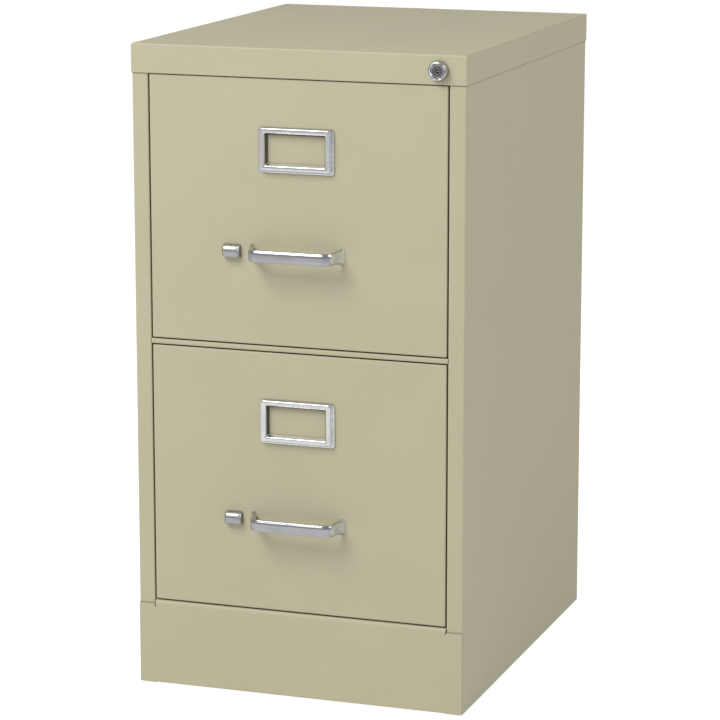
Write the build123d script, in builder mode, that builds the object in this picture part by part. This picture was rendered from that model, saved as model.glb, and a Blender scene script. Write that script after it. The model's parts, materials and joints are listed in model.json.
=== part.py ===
from build123d import *
from math import cos, radians, sin
import os

# A two-drawer vertical filing cabinet of folded steel sheet.
# Millimetres. +Z is up, the drawers face -Y, and X runs to the right of someone facing them.
# The origin is on the floor, in the middle of the space that the whole cabinet takes up.

# ---------------------------------------------------------------- driving dimensions

# Whole cabinet
CASE_W = 381.0  # outside width of the cap
CASE_H = 720.7  # floor to the top of the cap
CASE_D = 476.0  # front of the cap to its rear
HANDLE_REACH = 27.0  # how far the handles stand in front of the cap

# Sheet metal
SHEET = 0.9
FIT = 0.1  # air between lapped sheets
BEND = 1.6  # outside radius of a fold

# Front of the case
STILE_W = 18.5  # face of the stile beside the drawers
LIP_D = 14.0  # stile edge folded back into the case
REAR_FLANGE = 15.0
SKIRT_H = 31.7  # height of the cap's skirt
FLOOR_GAP = 1.8  # floor to the bottom edge of the case
KICK_EAR_TOP = 93.6  # top of the kick panel where it laps the stiles
KICK_TOP = 98.4  # top of the kick panel between the stiles
KICK_SHELF_D = 24.0
KICK_SHELF_DROP = 14.0

# Drawers
FRONT_W = 339.0
FRONT_H = 290.2
FRONT_D = 18.0  # depth of the hollow drawer front
TOP_GAP = 0.8  # under the cap's skirt
RAIL_GAP = 1.2  # between a drawer front and the rail or kick panel
PITCH = 298.4  # one drawer to the next
TUB_LENGTH = 440.0
TUB_BOTTOM = 10.0  # above the bottom of the drawer front
TUB_TOP = 262.0
TUB_ROLL = 7.0  # rolled top edge that folder hooks slide on
TUB_FLANGE = 12.0
FLANGE_INSET = 0.6  # keeps the flange's corners inside the tub's folds
BACK_FLANGE = 10.0
LINER_FLANGE = 7.0

# Drawer slides
SLIDE_W = 12.7
SLIDE_T = 1.2
SLIDE_LENGTH = 440.0
SLIDE_MID_Z = 95.0  # above the bottom of the drawer front
CASE_MEMBER_HALF = 22.5
MID_MEMBER_HALF = 17.6
DRAWER_MEMBER_HALF = 12.6
BALL_R = 1.7
BALL_PITCH = 40.0
BALLS = 6
RACE_LENGTH = 240.0

# Front hardware, heights measured down from the top of a drawer front
LABEL_DROP = 76.6
LABEL_W = 86.0
LABEL_H = 48.8
LABEL_RIM_W = 80.2
LABEL_RIM_H = 45.7
LABEL_WINDOW_W = 65.4
LABEL_WINDOW_H = 30.6
LABEL_D = 6.5
HANDLE_DROP = 188.5
HANDLE_FOOT_X = 51.5
HANDLE_CORNER_X = 46.5
STRAP_H = 14.0
STRAP_T = 4.6
BUTTON_X = -74.5
BUTTON_W = 19.0
BUTTON_H = 14.0
BUTTON_D = 9.0
LATCH_CLEAR = 0.5  # air between the latch bolt's tip and the stile

# Lock
LOCK_X = 159.5
LOCK_Z = 704.0
BEZEL_R = 10.0
BEZEL_D = 7.5
LOCK_BODY_R = 8.6
PLUG_FACE_R = 8.0
PLUG_R = 6.0
RUNNING_FIT = 0.05
CAM_PIN_ARM = 8.5
CAM_PIN_R = 2.5
CAM_REST_ANGLE = radians(45.0)
LUG_HEIGHT = 180.0  # top of a lock lug above the bottom of its drawer front

# ---------------------------------------------------------------- worked-out places

FRONT_Y = -(CASE_D - HANDLE_REACH) / 2
BACK_Y = FRONT_Y + CASE_D
LAP = SHEET + FIT
STILE_Y = FRONT_Y + LAP  # outer face of the stiles and of the drawer fronts
PANEL_X = CASE_W / 2 - LAP
PANEL_IN = PANEL_X - SHEET
PANEL_BACK = BACK_Y - LAP
PANEL_TOP = CASE_H - 2 * LAP
BACK_IN = PANEL_BACK - 2 * SHEET  # inner face of the back panel
OPENING_X = PANEL_X - STILE_W
SLIDE_X = OPENING_X - 0.5
TUB_X = SLIDE_X - SLIDE_W
SKIRT_Z = CASE_H - SKIRT_H
UPPER_Z = SKIRT_Z - TOP_GAP - FRONT_H
LOWER_Z = UPPER_Z - PITCH
DRAWERS = {"upper": UPPER_Z, "lower": LOWER_Z}
RAIL_LOW = LOWER_Z + FRONT_H + RAIL_GAP
RAIL_HIGH = UPPER_Z - RAIL_GAP
TUB_FRONT_Y = STILE_Y + FRONT_D
TUB_BACK_Y = TUB_FRONT_Y + TUB_LENGTH
SLIDE_FRONT_Y = TUB_FRONT_Y + 2.0
SLIDE_BACK_Y = SLIDE_FRONT_Y + SLIDE_LENGTH
SIDES = (-1, 1)
CAM_RISE = CAM_PIN_ARM * sin(CAM_REST_ANGLE)
BAR_TRAVEL = 2 * CAM_RISE

os.makedirs("parts", exist_ok=True)


def save(built, node):
    """Label a finished piece and write it as one STEP file."""
    built.part.label = node
    export_step(built.part, f"parts/{node}.step")


def across(y):
    """An upright plane at depth y that faces the front, with X to the right and Z up."""
    return Plane.XZ.offset(-y)


def along(x):
    """An upright plane at x that faces right, with Y to the right and Z up."""
    return Plane.YZ.offset(x)


def bent_sheet(points, thickness=SHEET, side=Side.LEFT, bend=BEND):
    """Draw the section of a folded sheet from the line of one face, in the open sketch."""
    with BuildLine() as outline:
        FilletPolyline(*points, radius=bend)
        offset(amount=thickness, side=side)
    make_face(outline.edges())


def span(low, high):
    """The middle of two values."""
    return (low + high) / 2


# ---------------------------------------------------------------- case shell

BACK_RIVET_X = span(PANEL_X, PANEL_X - REAR_FLANGE)
BACK_RIVET_R = 1.6
BACK_RIVET_HEAD_R = 3.2
BACK_RIVET_ROWS = 5
BACK_RIVET_PITCH = 150.0
BACK_MID_Z = span(FLOOR_GAP, SKIRT_Z)

STRIKE_SLOT_Y = span(STILE_Y + 5.0, STILE_Y + 11.0)
STRIKE_SLOT_W = 6.0
STRIKE_SLOT_H = 15.0


with BuildPart() as right_side_panel:
    with BuildSketch(Plane.XY.offset(FLOOR_GAP)):
        bent_sheet(
            [
                (OPENING_X, STILE_Y + LIP_D),
                (OPENING_X, STILE_Y),
                (PANEL_X, STILE_Y),
                (PANEL_X, PANEL_BACK),
                (PANEL_X - REAR_FLANGE, PANEL_BACK),
            ]
        )
    extrude(amount=PANEL_TOP - FLOOR_GAP)
    with BuildSketch(across(PANEL_BACK)):
        with Locations((BACK_RIVET_X, BACK_MID_Z)):
            with GridLocations(0, BACK_RIVET_PITCH, 1, BACK_RIVET_ROWS):
                Circle(BACK_RIVET_R + FIT)
    extrude(amount=SHEET, mode=Mode.SUBTRACT)
save(right_side_panel, "right_side_panel")

with BuildPart() as left_side_panel:
    mirror(right_side_panel.part, about=Plane.YZ)
    for drawer_z in DRAWERS.values():
        with BuildSketch(along(-OPENING_X)):
            with Locations((STRIKE_SLOT_Y, drawer_z + FRONT_H - HANDLE_DROP)):
                Rectangle(STRIKE_SLOT_W, STRIKE_SLOT_H)
        extrude(amount=-SHEET, mode=Mode.SUBTRACT)
save(left_side_panel, "left_side_panel")

BEAD_W = 16.0
BEAD_L = 250.0
BEAD_D = 3.0
BEAD_SLOPE = 30.0
BEAD_ROWS = 3
BEAD_PITCH = 190.0
BACK_BOTTOM = FLOOR_GAP + 3.0

with BuildPart() as back_panel:
    with BuildSketch(across(BACK_IN + SHEET)):
        with Locations((0, span(BACK_BOTTOM, PANEL_TOP))):
            Rectangle(2 * (PANEL_IN - BEND), PANEL_TOP - BACK_BOTTOM)
        with Locations((0, BACK_MID_Z)):
            with GridLocations(2 * BACK_RIVET_X, BACK_RIVET_PITCH, 2, BACK_RIVET_ROWS):
                Circle(BACK_RIVET_R + FIT, mode=Mode.SUBTRACT)
    extrude(amount=SHEET)
    # Stiffening beads pressed into the case
    with BuildSketch(across(BACK_IN)):
        with Locations((0, BACK_MID_Z)):
            with GridLocations(0, BEAD_PITCH, 1, BEAD_ROWS):
                SlotOverall(BEAD_L, BEAD_W)
    extrude(amount=BEAD_D, taper=BEAD_SLOPE)
    with BuildSketch(across(BACK_IN + SHEET)):
        with Locations((0, BACK_MID_Z)):
            with GridLocations(0, BEAD_PITCH, 1, BEAD_ROWS):
                SlotOverall(BEAD_L - 2 * SHEET, BEAD_W - 2 * SHEET)
    extrude(amount=BEAD_D, taper=BEAD_SLOPE, mode=Mode.SUBTRACT)
save(back_panel, "back_panel")

with BuildPart() as back_rivets:
    with BuildSketch(across(PANEL_BACK + SHEET)):
        with Locations((0, BACK_MID_Z)):
            with GridLocations(2 * BACK_RIVET_X, BACK_RIVET_PITCH, 2, BACK_RIVET_ROWS):
                Circle(BACK_RIVET_HEAD_R)
    extrude(amount=SHEET)
    with BuildSketch(across(PANEL_BACK)):
        with Locations((0, BACK_MID_Z)):
            with GridLocations(2 * BACK_RIVET_X, BACK_RIVET_PITCH, 2, BACK_RIVET_ROWS):
                Circle(BACK_RIVET_R)
    extrude(amount=3 * SHEET)
    fillet(back_rivets.edges().group_by(Axis.Y)[-1], radius=SHEET / 2)
save(back_rivets, "back_rivets")

with BuildPart() as top_cap:
    with BuildSketch(Plane.XY.offset(SKIRT_Z)):
        with Locations((0, span(FRONT_Y, BACK_Y))):
            RectangleRounded(CASE_W, CASE_D, BEND)
    extrude(amount=SKIRT_H)
    fillet(top_cap.faces().sort_by(Axis.Z)[-1].edges(), radius=BEND - FIT)
    offset(amount=-SHEET, openings=top_cap.faces().sort_by(Axis.Z)[0])
    with BuildSketch(across(STILE_Y)):
        with Locations((LOCK_X, LOCK_Z)):
            Circle(LOCK_BODY_R + FIT)
    extrude(amount=2 * LAP, mode=Mode.SUBTRACT)
save(top_cap, "top_cap")

KICK_IN_X = OPENING_X - 0.6  # half the width of the kick panel's shelf
RELIEF_W = 1.2
RELIEF_H = 3.5

with BuildPart() as kick_panel:
    with BuildSketch(along(-KICK_IN_X)):
        bent_sheet(
            [
                (FRONT_Y + KICK_SHELF_D / 2, FLOOR_GAP),
                (FRONT_Y, FLOOR_GAP),
                (FRONT_Y, KICK_TOP),
                (FRONT_Y + KICK_SHELF_D, KICK_TOP),
                (FRONT_Y + KICK_SHELF_D, KICK_TOP - KICK_SHELF_DROP),
            ],
            side=Side.RIGHT,
            bend=[BEND, KICK_TOP - KICK_EAR_TOP, BEND],
        )
    extrude(amount=2 * KICK_IN_X)
    # Ears that lap the stiles
    with BuildSketch(across(FRONT_Y + SHEET)) as ears:
        for side in SIDES:
            with Locations((side * span(KICK_IN_X, PANEL_X), span(FLOOR_GAP, KICK_EAR_TOP))):
                Rectangle(PANEL_X - KICK_IN_X, KICK_EAR_TOP - FLOOR_GAP)
        foot_corners = ears.vertices().group_by(Axis.Y)[0].sort_by(Axis.X)
        fillet([foot_corners[0], foot_corners[-1]], radius=BEND)
    extrude(amount=SHEET)
    # Corner reliefs where the shelf folds away from the ears
    with BuildSketch(across(FRONT_Y + SHEET)):
        for side in SIDES:
            with Locations((side * KICK_IN_X, KICK_EAR_TOP - RELIEF_H / 2)):
                Rectangle(RELIEF_W, RELIEF_H)
    extrude(amount=2 * SHEET, both=True, mode=Mode.SUBTRACT)
save(kick_panel, "kick_panel")


def front_rail(low, high, holds_lock=False):
    """A channel between the stiles, open to the rear, from height low to high."""
    with BuildPart() as rail:
        with BuildSketch(along(-OPENING_X)):
            bent_sheet(
                [
                    (TUB_FRONT_Y, low),
                    (STILE_Y, low),
                    (STILE_Y, high),
                    (TUB_FRONT_Y, high),
                ],
                side=Side.RIGHT,
            )
        extrude(amount=2 * OPENING_X)
        if holds_lock:
            with BuildSketch(across(STILE_Y + SHEET)):
                with Locations((LOCK_X, LOCK_Z)):
                    Circle(LOCK_BODY_R + FIT)
            extrude(amount=SHEET, mode=Mode.SUBTRACT)
    return rail


TOP_RAIL_LOW = SKIRT_Z + 1.5
TOP_RAIL_HIGH = PANEL_TOP
save(front_rail(RAIL_LOW, RAIL_HIGH), "centre_rail")
save(front_rail(TOP_RAIL_LOW, TOP_RAIL_HIGH, holds_lock=True), "top_rail")

# ---------------------------------------------------------------- base and feet

BASE_TOP = 26.0
BASE_BOTTOM = 5.0
FRONT_BASE_Y = (STILE_Y + 16.0, STILE_Y + 64.0)
REAR_BASE_Y = (STILE_Y + 405.0, STILE_Y + 455.0)
GLIDE_X = 158.0
GLIDE_R = 10.0
GLIDE_H = 4.5
STEM_R = 4.0
STEM_AIR = 0.5
STEM_CHAMFER = 0.8
STEM_TOP = 40.0
NUT_H = 6.5
NUT_R = 7.2
GLIDE_Y = (span(*FRONT_BASE_Y), span(*REAR_BASE_Y))
GLIDE_PLACES = [(side * GLIDE_X, y) for side in SIDES for y in GLIDE_Y]


def base_channel(y_range, glide_y):
    """An inverted channel from side to side, with a hole for each glide's stem."""
    front, back = y_range
    with BuildPart() as channel:
        with BuildSketch(along(-PANEL_IN)):
            bent_sheet(
                [(front, BASE_BOTTOM), (front, BASE_TOP), (back, BASE_TOP), (back, BASE_BOTTOM)],
                side=Side.RIGHT,
            )
        extrude(amount=2 * PANEL_IN)
        with BuildSketch(Plane.XY.offset(BASE_TOP)):
            with Locations((0, glide_y)):
                with GridLocations(2 * GLIDE_X, 0, 2, 1):
                    Circle(STEM_R + STEM_AIR)
        extrude(amount=-2 * SHEET, mode=Mode.SUBTRACT)
    return channel


save(base_channel(FRONT_BASE_Y, GLIDE_Y[0]), "base_front_channel")
save(base_channel(REAR_BASE_Y, GLIDE_Y[1]), "base_rear_channel")

with BuildPart() as levelling_glides:
    with BuildSketch():
        with Locations(*GLIDE_PLACES):
            Circle(GLIDE_R)
    extrude(amount=GLIDE_H)
    chamfer(levelling_glides.edges().group_by(Axis.Z)[-1], length=2.0)
    with BuildSketch(Plane.XY.offset(GLIDE_H)):
        with Locations(*GLIDE_PLACES):
            Circle(STEM_R)
    extrude(amount=STEM_TOP - GLIDE_H)
    chamfer(levelling_glides.edges().group_by(Axis.Z)[-1], length=STEM_CHAMFER)
save(levelling_glides, "levelling_glides")

with BuildPart() as glide_nuts:
    with BuildSketch(Plane.XY.offset(BASE_TOP)):
        with Locations(*GLIDE_PLACES):
            RegularPolygon(NUT_R, side_count=6)
            Circle(STEM_R + RUNNING_FIT, mode=Mode.SUBTRACT)
    extrude(amount=NUT_H)
save(glide_nuts, "glide_nuts")

# ---------------------------------------------------------------- uprights

UPRIGHT_TOP = 684.0
UPRIGHT_FOOT = 8.0
FRONT_UPRIGHT_Y = (STILE_Y + 20.0, STILE_Y + 60.0)
REAR_UPRIGHT_Y = (STILE_Y + 415.0, STILE_Y + 455.0)
RIVET_Y = (STILE_Y + 51.0, STILE_Y + 435.0)
RIVET_R = 2.4
RIVET_HEAD_R = 4.5
RIVET_HEAD_T = 1.6
CATCH_Y = STILE_Y + 26.0  # middle of the lock bar's catches
CATCH_T = 2.0
CATCH_H = 16.0
CATCH_CLEAR = 1.5
CATCH_SLOT_W = CATCH_T + 2.0
CATCH_SLOT_H = CATCH_H + BAR_TRAVEL + 3.0
CATCH_SLOT_UP = CATCH_CLEAR + (CATCH_H - BAR_TRAVEL) / 2  # middle of a slot above its lug

SLIDE_Z = {name: z + SLIDE_MID_Z for name, z in DRAWERS.items()}
LUG_Z = {name: z + LUG_HEIGHT for name, z in DRAWERS.items()}
CHANNEL_BEND = 1.2


def upright_pair(y_range, rivet_y, holds_bar=False):
    """A hat section on each side panel, with rivet holes for the slides."""
    front, back = y_range
    foot_x = PANEL_IN - SHEET
    with BuildPart() as pair:
        with BuildSketch(Plane.XY.offset(BASE_TOP)):
            bent_sheet(
                [
                    (foot_x, front - UPRIGHT_FOOT),
                    (foot_x, front),
                    (SLIDE_X, front),
                    (SLIDE_X, back),
                    (foot_x, back),
                    (foot_x, back + UPRIGHT_FOOT),
                ],
                side=Side.RIGHT,
                bend=CHANNEL_BEND,
            )
        extrude(amount=UPRIGHT_TOP - BASE_TOP)
        with BuildSketch(along(SLIDE_X)):
            with Locations(*[(rivet_y, z) for z in SLIDE_Z.values()]):
                Circle(RIVET_R + RUNNING_FIT)
            if holds_bar:
                # Slots that the lock bar's catches reach through
                with Locations(*[(CATCH_Y, lug_z + CATCH_SLOT_UP) for lug_z in LUG_Z.values()]):
                    Rectangle(CATCH_SLOT_W, CATCH_SLOT_H)
        extrude(amount=SHEET, mode=Mode.SUBTRACT)
        mirror(about=Plane.YZ)
    return pair


save(upright_pair(FRONT_UPRIGHT_Y, RIVET_Y[0], holds_bar=True), "front_uprights")
save(upright_pair(REAR_UPRIGHT_Y, RIVET_Y[1]), "rear_uprights")

BUMPER_X = 145.0
BUMPER_R = 8.0
BUMPER_L = 12.2
BUMPER_ROUND = 2.5
BUMPER_UP = 60.0

with BuildPart() as drawer_bumpers:
    with BuildSketch(across(BACK_IN)):
        with Locations(*[(side * BUMPER_X, z + BUMPER_UP) for side in SIDES for z in DRAWERS.values()]):
            Circle(BUMPER_R)
    extrude(amount=BUMPER_L)
    fillet(drawer_bumpers.edges().group_by(Axis.Y)[0], radius=BUMPER_ROUND)
save(drawer_bumpers, "drawer_bumpers")

# ---------------------------------------------------------------- drawer slides

RIVET_PLACES = [(y, z) for y in RIVET_Y for z in SLIDE_Z.values()]
CASE_LIP = 2.2
CASE_REACH = 11.0
MID_GAP = 0.4
MID_REACH = 8.0
DRAWER_REACH = 8.7
RACE_X = SLIDE_X - 6.8
RETAINER_W = 5.2
RETAINER_ROUND = RETAINER_W / 3
RETAINER_T = 1.0
SLIDE_BEND = 1.6

with BuildPart() as slide_rivets:
    with BuildSketch(along(SLIDE_X - SLIDE_T)):
        with Locations(*RIVET_PLACES):
            Circle(RIVET_R)
    extrude(amount=SLIDE_T + SHEET)
    with BuildSketch(along(SLIDE_X + SHEET)):
        with Locations(*RIVET_PLACES):
            Circle(RIVET_HEAD_R)
    extrude(amount=RIVET_HEAD_T)
    fillet(slide_rivets.edges().group_by(Axis.X)[-1], radius=RIVET_HEAD_T / 2)
    mirror(about=Plane.YZ)
save(slide_rivets, "slide_rivets")


def slide_members(points, rivet_z=None):
    """A pair of rolled channels as long as the slide, with rivet holes at height rivet_z."""
    with BuildPart() as members:
        with BuildSketch(across(SLIDE_BACK_Y)):
            bent_sheet(points, thickness=SLIDE_T, bend=SLIDE_BEND)
        extrude(amount=SLIDE_LENGTH)
        if rivet_z is not None:
            with BuildSketch(along(SLIDE_X)):
                with Locations(*[(y, rivet_z) for y in RIVET_Y]):
                    Circle(RIVET_R + RUNNING_FIT)
            extrude(amount=-SLIDE_T, mode=Mode.SUBTRACT)
        mirror(about=Plane.YZ)
    return members


def case_slides(mid_z):
    """The pair of slide members that stay on the uprights."""
    tip_x = SLIDE_X - CASE_REACH
    low = mid_z - CASE_MEMBER_HALF
    high = mid_z + CASE_MEMBER_HALF
    return slide_members(
        [
            (tip_x, low + CASE_LIP),
            (tip_x, low),
            (SLIDE_X, low),
            (SLIDE_X, high),
            (tip_x, high),
            (tip_x, high - CASE_LIP),
        ],
        rivet_z=mid_z,
    )


def mid_slides(mid_z):
    """The pair of middle slide members, which run half as far as the drawer."""
    web_x = SLIDE_X - SLIDE_T - MID_GAP
    low = mid_z - MID_MEMBER_HALF
    high = mid_z + MID_MEMBER_HALF
    tip_x = web_x - MID_REACH
    return slide_members([(tip_x, low), (web_x, low), (web_x, high), (tip_x, high)])


def drawer_slides(mid_z):
    """The pair of slide members that are fixed to the drawer's tub."""
    low = mid_z - DRAWER_MEMBER_HALF
    high = mid_z + DRAWER_MEMBER_HALF
    tip_x = TUB_X + DRAWER_REACH
    return slide_members([(tip_x, high), (TUB_X, high), (TUB_X, low), (tip_x, low)])


def ball_strips(mid_z, race_half):
    """Four retainer strips with their balls, above and below a slide member on each side."""
    race_y = span(SLIDE_FRONT_Y, SLIDE_BACK_Y)
    with BuildPart() as strips:
        for level in SIDES:
            race_z = mid_z + level * race_half
            with BuildSketch(Plane.XY.offset(race_z - RETAINER_T / 2)):
                with Locations((RACE_X, race_y)):
                    RectangleRounded(RETAINER_W, RACE_LENGTH, RETAINER_ROUND)
                    with GridLocations(0, BALL_PITCH, 1, BALLS):
                        Circle(BALL_R + FIT, mode=Mode.SUBTRACT)
            extrude(amount=RETAINER_T)
            with Locations((RACE_X, race_y, race_z)):
                with GridLocations(0, BALL_PITCH, 1, BALLS):
                    Sphere(BALL_R)
        mirror(about=Plane.YZ)
    return strips


OUTER_RACE = span(CASE_MEMBER_HALF - SLIDE_T, MID_MEMBER_HALF)
INNER_RACE = span(MID_MEMBER_HALF - SLIDE_T, DRAWER_MEMBER_HALF)

for name, mid_z in SLIDE_Z.items():
    save(case_slides(mid_z), f"{name}_case_slides")
    save(mid_slides(mid_z), f"{name}_mid_slides")
    save(drawer_slides(mid_z), f"{name}_drawer_slides")
    save(ball_strips(mid_z, OUTER_RACE), f"{name}_outer_bearings")
    save(ball_strips(mid_z, INNER_RACE), f"{name}_inner_bearings")

# ---------------------------------------------------------------- drawer boxes

LINER_X = FRONT_W / 2 - SHEET - FIT
BOLT_SLOT_Y = (STILE_Y + 5.5, STILE_Y + 10.5)
BOLT_SLOT_H = 14.0
STEM_SLOT_X = span(-82.5, -67.5)  # the button's stem and its travel
STEM_SLOT_W = 15.0
STEM_SLOT_H = 7.0
HANDLE_SCREW_X = 49.5
HANDLE_SCREW_R = 2.0


def front_skin(base_z):
    """The painted outer pan of a drawer front."""
    handle_z = base_z + FRONT_H - HANDLE_DROP
    with BuildPart() as skin:
        with BuildSketch(across(TUB_FRONT_Y)):
            with Locations((0, base_z + FRONT_H / 2)):
                RectangleRounded(FRONT_W, FRONT_H, BEND)
        extrude(amount=FRONT_D)
        fillet(skin.faces().sort_by(Axis.Y)[0].edges(), radius=BEND - FIT)
        offset(amount=-SHEET, openings=skin.faces().sort_by(Axis.Y)[-1])
        with BuildSketch(across(STILE_Y + SHEET)):
            with Locations((STEM_SLOT_X, handle_z)):
                Rectangle(STEM_SLOT_W, STEM_SLOT_H)
            with Locations((-HANDLE_SCREW_X, handle_z), (HANDLE_SCREW_X, handle_z)):
                Circle(HANDLE_SCREW_R + FIT)
        extrude(amount=SHEET, mode=Mode.SUBTRACT)
        # Hole in the left edge for the latch bolt
        with BuildSketch(along(-FRONT_W / 2)):
            with Locations((span(*BOLT_SLOT_Y), handle_z)):
                Rectangle(BOLT_SLOT_Y[1] - BOLT_SLOT_Y[0], BOLT_SLOT_H)
        extrude(amount=SHEET, mode=Mode.SUBTRACT)
    return skin


def front_liner(base_z):
    """The inner pan that closes a drawer front from behind."""
    with BuildPart() as liner:
        with BuildSketch(across(TUB_FRONT_Y)):
            with Locations((0, base_z + FRONT_H / 2)):
                RectangleRounded(2 * LINER_X, FRONT_H - 2 * LAP, BEND)
        extrude(amount=LINER_FLANGE)
        fillet(liner.faces().sort_by(Axis.Y)[-1].edges(), radius=BEND - FIT)
        offset(amount=-SHEET, openings=liner.faces().sort_by(Axis.Y)[0])
    return liner


def tub(base_z):
    """Bottom and high sides of a drawer in one sheet, rolled at the top, flanged at the front."""
    low = base_z + TUB_BOTTOM
    high = base_z + TUB_TOP
    outer = TUB_X + TUB_ROLL
    with BuildPart() as box:
        with BuildSketch(across(TUB_BACK_Y)):
            bent_sheet(
                [
                    (-outer, high - TUB_ROLL),
                    (-outer, high),
                    (-TUB_X, high),
                    (-TUB_X, low),
                    (TUB_X, low),
                    (TUB_X, high),
                    (outer, high),
                    (outer, high - TUB_ROLL),
                ]
            )
        extrude(amount=TUB_LENGTH)
        # Front flanges that weld to the liner
        with BuildSketch(across(TUB_FRONT_Y + SHEET)):
            with Locations((0, span(low, high))):
                Rectangle(2 * (TUB_X - FLANGE_INSET), high - low - 2 * FLANGE_INSET)
            with Locations((0, span(low + TUB_FLANGE, high))):
                Rectangle(2 * (TUB_X - TUB_FLANGE), high - low - TUB_FLANGE, mode=Mode.SUBTRACT)
        extrude(amount=SHEET)
    return box


def drawer_back(base_z):
    """The rear wall of a drawer, a shallow pan inside the end of the tub."""
    low = base_z + TUB_BOTTOM + LAP
    high = base_z + TUB_TOP - TUB_ROLL
    with BuildPart() as wall:
        with BuildSketch(across(TUB_BACK_Y - FIT)):
            with Locations((0, span(low, high))):
                RectangleRounded(2 * (TUB_X - LAP), high - low, BEND)
        extrude(amount=BACK_FLANGE)
        fillet(wall.faces().sort_by(Axis.Y)[-1].edges(), radius=BEND - FIT)
        offset(amount=-SHEET, openings=wall.faces().sort_by(Axis.Y)[0])
    return wall


LUG_SETBACK = 4.0  # behind the middle of the catch
LUG_REACH = 9.7
LUG_FOOT = 24.0
LUG_BEND = 2.4


def lock_lug(base_z):
    """An angle on the tub's right side that the lock bar's catch drops in front of."""
    top = base_z + LUG_HEIGHT
    hook_y = CATCH_Y + LUG_SETBACK
    with BuildPart() as lug:
        with BuildSketch(Plane.XY.offset(top - CATCH_H)):
            bent_sheet(
                [(TUB_X + LUG_REACH, hook_y), (TUB_X, hook_y), (TUB_X, hook_y + LUG_FOOT)],
                thickness=CATCH_T,
                side=Side.RIGHT,
                bend=LUG_BEND,
            )
        extrude(amount=CATCH_H)
    return lug


# ---------------------------------------------------------------- drawer hardware

LABEL_BASE_T = 1.3
LABEL_EDGE = 1.8
LABEL_LIFT = 1.35  # the moulding sits flush with the top of its base
LABEL_BASE_CORNER = 3.0
LABEL_RIM_CORNER = 2.5
LABEL_WINDOW_CORNER = 1.5


def label_holder(base_z):
    """A frame with a raised moulding round an open window."""
    label_z = base_z + FRONT_H - LABEL_DROP
    with BuildPart() as holder:
        with BuildSketch(across(STILE_Y)):
            with Locations((0, label_z)):
                RectangleRounded(LABEL_W, LABEL_H, LABEL_BASE_CORNER)
        extrude(amount=LABEL_BASE_T)
        with BuildSketch(across(STILE_Y - LABEL_BASE_T)):
            with Locations((0, label_z + LABEL_LIFT)):
                RectangleRounded(LABEL_RIM_W, LABEL_RIM_H, LABEL_RIM_CORNER)
        extrude(amount=LABEL_D - LABEL_BASE_T)
        with BuildSketch(across(STILE_Y)):
            with Locations((0, label_z + LABEL_LIFT)):
                RectangleRounded(LABEL_WINDOW_W, LABEL_WINDOW_H, LABEL_WINDOW_CORNER)
        extrude(amount=LABEL_D, mode=Mode.SUBTRACT)
        fillet(holder.faces().sort_by(Axis.Y)[0].edges(), radius=LABEL_EDGE)
    return holder


FOOT_W = 11.0
FOOT_H = 16.0
FOOT_T = 3.0
FOOT_CORNER = 2.0
HANDLE_BEND = 11.0
STRAP_ROUND = 0.4 * STRAP_T
SCREW_DEPTH = 7.0
SCREW_HEAD_R = 4.2
SCREW_HEAD_T = 2.5
SCREW_KEY_R = 1.6


def handle(base_z):
    """A strap bail whose arms lean outward to two feet on the drawer front."""
    handle_z = base_z + FRONT_H - HANDLE_DROP
    front = FRONT_Y - HANDLE_REACH + STRAP_T / 2
    with BuildPart() as bail:
        with BuildLine(Plane.XY.offset(handle_z)) as route:
            FilletPolyline(
                (-HANDLE_FOOT_X, STILE_Y),
                (-HANDLE_CORNER_X, front),
                (HANDLE_CORNER_X, front),
                (HANDLE_FOOT_X, STILE_Y),
                radius=HANDLE_BEND,
            )
        with BuildSketch(Plane(route.line @ 0, z_dir=route.line % 0, x_dir=(0, 0, 1))):
            RectangleRounded(STRAP_H, STRAP_T, STRAP_ROUND)
        sweep()
        with BuildSketch(across(STILE_Y)):
            with Locations((-HANDLE_SCREW_X, handle_z), (HANDLE_SCREW_X, handle_z)):
                RectangleRounded(FOOT_W, FOOT_H, FOOT_CORNER)
        extrude(amount=FOOT_T)
        split(bisect_by=across(STILE_Y))
        with BuildSketch(across(STILE_Y)):
            with Locations((-HANDLE_SCREW_X, handle_z), (HANDLE_SCREW_X, handle_z)):
                Circle(HANDLE_SCREW_R + RUNNING_FIT)
        extrude(amount=SCREW_DEPTH + FIT, mode=Mode.SUBTRACT)
    return bail


def handle_screws(base_z):
    """Two screws from inside the drawer front into the handle's feet."""
    handle_z = base_z + FRONT_H - HANDLE_DROP
    head_y = STILE_Y + SHEET
    with BuildPart() as screws:
        with BuildSketch(across(head_y + SCREW_HEAD_T)):
            with Locations((-HANDLE_SCREW_X, handle_z), (HANDLE_SCREW_X, handle_z)):
                Circle(SCREW_HEAD_R)
                RegularPolygon(SCREW_KEY_R, side_count=6, mode=Mode.SUBTRACT)
        extrude(amount=SCREW_HEAD_T)
        with BuildSketch(across(head_y)):
            with Locations((-HANDLE_SCREW_X, handle_z), (HANDLE_SCREW_X, handle_z)):
                Circle(HANDLE_SCREW_R)
        extrude(amount=SHEET + SCREW_DEPTH)
    return screws


LATCH_Y = STILE_Y + 8.0  # middle of the latch bar
LATCH_T = 2.0
LATCH_H = 12.0
LATCH_TIP_X = -OPENING_X + LATCH_CLEAR
LATCH_END_X = -30.0
LATCH_TIP_BEVEL = 1.2
BUTTON_AIR = 0.4
BUTTON_SHOULDER = 6.0
BUTTON_STEM_X = -78.0
BUTTON_STEM_W = 8.0
BUTTON_STEM_H = 6.0
BUTTON_BEVEL = 1.2


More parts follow.
